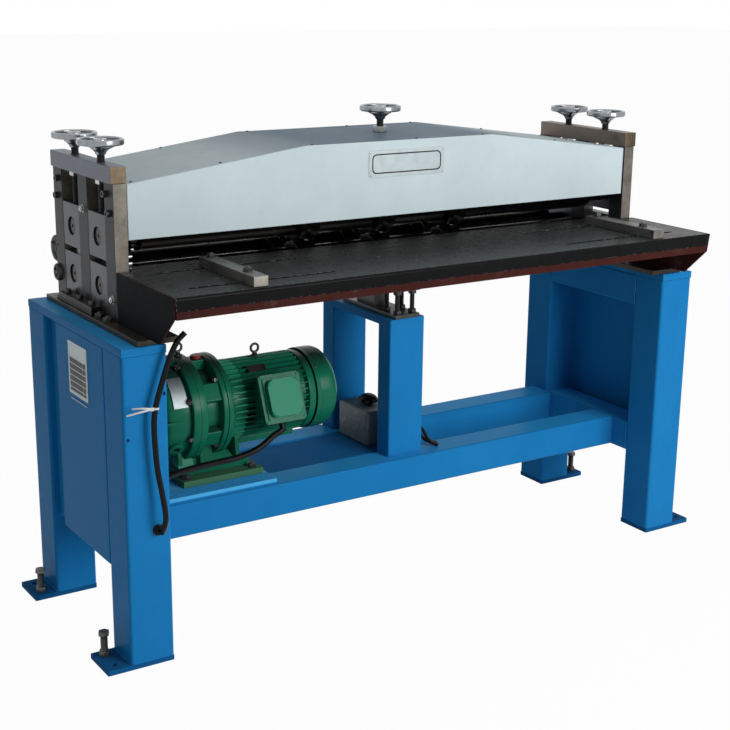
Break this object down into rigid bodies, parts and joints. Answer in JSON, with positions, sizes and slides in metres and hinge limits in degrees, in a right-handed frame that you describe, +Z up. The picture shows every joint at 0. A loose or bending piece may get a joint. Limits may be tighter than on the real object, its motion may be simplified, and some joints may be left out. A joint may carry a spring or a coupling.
{
  "type": "sheet metal grooving machine",
  "caption": "Floor-standing sheet metal grooving machine: blue box-section stands, geared roller head with screw handwheels, black work table, green gearmotor and chain drive.",
  "frame": {"origin": "on the floor at the middle of the machine's length and depth", "axes": "+X along the rollers to the operator's right, +Y from the operator's side to the back, +Z up"},
  "size_m": [1.696, 0.671, 1.1334],
  "materials": {
    "blue_paint": "mid-blue gloss machine paint",
    "cover_paint": "pale blue-grey satin paint",
    "table_paint": "black blued steel, worn bright at the edges",
    "primer_red": "dull red primer",
    "bracket_paint": "dark blue-grey satin paint",
    "frame_steel": "oiled dark machined steel with light rust",
    "roll_steel": "turned dark steel with an oil film",
    "black_steel": "black oxide steel",
    "chrome": "bright chrome plate",
    "motor_green": "green gloss enamel",
    "base_green": "dull olive green paint",
    "black_rubber": "matt black rubber",
    "switch_grey": "grey case under clear wrapping film",
    "plate_silver": "blank brushed metal plate"
  },
  "bodies": {
    "machine": {"left_front_leg": "blue_paint", "left_rear_leg": "blue_paint", "right_front_leg": "blue_paint", "right_rear_leg": "blue_paint", "left_stand_top": "blue_paint", "right_stand_top": "blue_paint", "left_cross_rail": "blue_paint", "right_cross_rail": "blue_paint", "left_side_panel": "blue_paint", "right_side_panel": "blue_paint", "front_rail": "blue_paint", "rear_rail": "blue_paint", "middle_portal": "blue_paint", "motor_pad_plate": "blue_paint", "shelf_plate": "blue_paint", "left_bed_plate": "frame_steel", "right_bed_plate": "frame_steel", "left_end_frame": "frame_steel", "right_end_frame": "frame_steel", "left_cap_bar": "frame_steel", "right_cap_bar": "frame_steel", "bridge_beam": "black_steel", "centre_support": "black_steel", "cover": "cover_paint", "nameplate": "plate_silver", "rating_plate": "plate_silver", "work_table": "table_paint", "table_stiffener": "primer_red", "left_table_bracket": "bracket_paint", "right_table_bracket": "bracket_paint", "gearmotor_base_plate": "base_green", "cycloidal_reducer": "motor_green", "motor_body": "motor_green", "fan_cover": "motor_green", "terminal_box": "motor_green", "drive_chain": "black_steel", "foot_switch_case": "switch_grey", "motor_cable": "black_rubber", "supply_cable": "black_rubber", "foot_switch_lead": "black_rubber"},
    "front_lift": {"left_front_upper_block": "frame_steel", "right_front_upper_block": "frame_steel"},
    "rear_lift": {"left_rear_upper_block": "frame_steel", "right_rear_upper_block": "frame_steel"},
    "left_front_wheel": {"left_front_handwheel": "chrome"},
    "right_front_wheel": {"right_front_handwheel": "chrome"},
    "left_rear_wheel": {"left_rear_handwheel": "chrome"},
    "right_rear_wheel": {"right_rear_handwheel": "chrome"},
    "saddle": {"centre_saddle": "black_steel"},
    "centre_wheel": {"centre_handwheel": "chrome"},
    "fan": {"motor_fan": "black_steel"},
    "output": {"output_sprocket": "roll_steel"},
    "lower_rear": {"lower_rear_roll": "roll_steel"},
    "lower_front": {"lower_front_roll": "roll_steel"},
    "idler": {"idler_gear": "roll_steel"},
    "upper_rear": {"upper_rear_roll": "roll_steel"},
    "upper_front": {"upper_front_roll": "roll_steel"},
    "left_guide": {"left_side_guide": "black_steel"},
    "right_guide": {"right_side_guide": "black_steel"},
    "pedal": {"foot_pedal": "black_rubber"}
  },
  "joints": [
    {"name": "front_lift_slide", "type": "slide", "parent": "machine", "child": "front_lift", "axis": [0, 0, 1], "range_m": [0, 0.006]},
    {"name": "rear_lift_slide", "type": "slide", "parent": "machine", "child": "rear_lift", "axis": [0, 0, 1], "range_m": [0, 0.006]},
    {"name": "left_front_wheel_turn", "type": "hinge", "parent": "front_lift", "child": "left_front_wheel", "pos_m": [-0.711, 0.0475, 1.0923], "axis": [0, 0, 1], "range_deg": [0, 1080]},
    {"name": "right_front_wheel_turn", "type": "hinge", "parent": "front_lift", "child": "right_front_wheel", "pos_m": [0.711, 0.0475, 1.0923], "axis": [0, 0, 1], "range_deg": [0, 1080]},
    {"name": "left_rear_wheel_turn", "type": "hinge", "parent": "rear_lift", "child": "left_rear_wheel", "pos_m": [-0.711, 0.1945, 1.0923], "axis": [0, 0, 1], "range_deg": [0, 1080]},
    {"name": "right_rear_wheel_turn", "type": "hinge", "parent": "rear_lift", "child": "right_rear_wheel", "pos_m": [0.711, 0.1945, 1.0923], "axis": [0, 0, 1], "range_deg": [0, 1080]},
    {"name": "saddle_slide", "type": "slide", "parent": "machine", "child": "saddle", "axis": [0, 0, 1], "range_m": [-0.006, 0]},
    {"name": "centre_wheel_turn", "type": "hinge", "parent": "saddle", "child": "centre_wheel", "pos_m": [0.045, 0.121, 1.1266], "axis": [0, 0, 1], "range_deg": [-1080, 0]},
    {"name": "motor_turn", "type": "hinge", "parent": "machine", "child": "fan", "pos_m": [-0.1635, 0.1125, 0.456], "axis": [1, 0, 0], "continuous": true},
    {"name": "output_turn", "type": "hinge", "parent": "machine", "child": "output", "pos_m": [-0.651, 0.1125, 0.456], "axis": [1, 0, 0], "continuous": true},
    {"name": "lower_rear_turn", "type": "hinge", "parent": "machine", "child": "lower_rear", "pos_m": [0, 0.1945, 0.783], "axis": [1, 0, 0], "continuous": true},
    {"name": "lower_front_turn", "type": "hinge", "parent": "machine", "child": "lower_front", "pos_m": [0, 0.0475, 0.783], "axis": [1, 0, 0], "continuous": true},
    {"name": "idler_turn", "type": "hinge", "parent": "machine", "child": "idler", "pos_m": [-0.679, 0.121, 0.783], "axis": [1, 0, 0], "continuous": true},
    {"name": "upper_rear_turn", "type": "hinge", "parent": "rear_lift", "child": "upper_rear", "pos_m": [0, 0.1945, 0.891], "axis": [1, 0, 0], "continuous": true},
    {"name": "upper_front_turn", "type": "hinge", "parent": "front_lift", "child": "upper_front", "pos_m": [0, 0.0475, 0.891], "axis": [1, 0, 0], "continuous": true},
    {"name": "left_guide_slide", "type": "slide", "parent": "machine", "child": "left_guide", "axis": [1, 0, 0], "range_m": [-0.125, 0.195]},
    {"name": "right_guide_slide", "type": "slide", "parent": "machine", "child": "right_guide", "axis": [1, 0, 0], "range_m": [-0.235, 0.09]},
    {"name": "pedal_slide", "type": "slide", "parent": "machine", "child": "pedal", "axis": [0, 0, 1], "range_m": [-0.006, 0], "stiffness_N_per_m": 900, "springref_m": 0.004}
  ],
  "couplings": [
    {"joint": "left_front_wheel_turn", "follows": "front_lift_slide", "rad_per_m": 3141.6},
    {"joint": "right_front_wheel_turn", "follows": "front_lift_slide", "rad_per_m": 3141.6},
    {"joint": "left_rear_wheel_turn", "follows": "rear_lift_slide", "rad_per_m": 3141.6},
    {"joint": "right_rear_wheel_turn", "follows": "rear_lift_slide", "rad_per_m": 3141.6},
    {"joint": "centre_wheel_turn", "follows": "saddle_slide", "rad_per_m": 3141.6},
    {"joint": "output_turn", "follows": "motor_turn", "ratio": -0.034483},
    {"joint": "lower_rear_turn", "follows": "motor_turn", "ratio": -0.017241},
    {"joint": "lower_front_turn", "follows": "motor_turn", "ratio": -0.017241},
    {"joint": "idler_turn", "follows": "motor_turn", "ratio": 0.047745},
    {"joint": "upper_rear_turn", "follows": "motor_turn", "ratio": 0.017241},
    {"joint": "upper_front_turn", "follows": "motor_turn", "ratio": 0.017241}
  ]
}
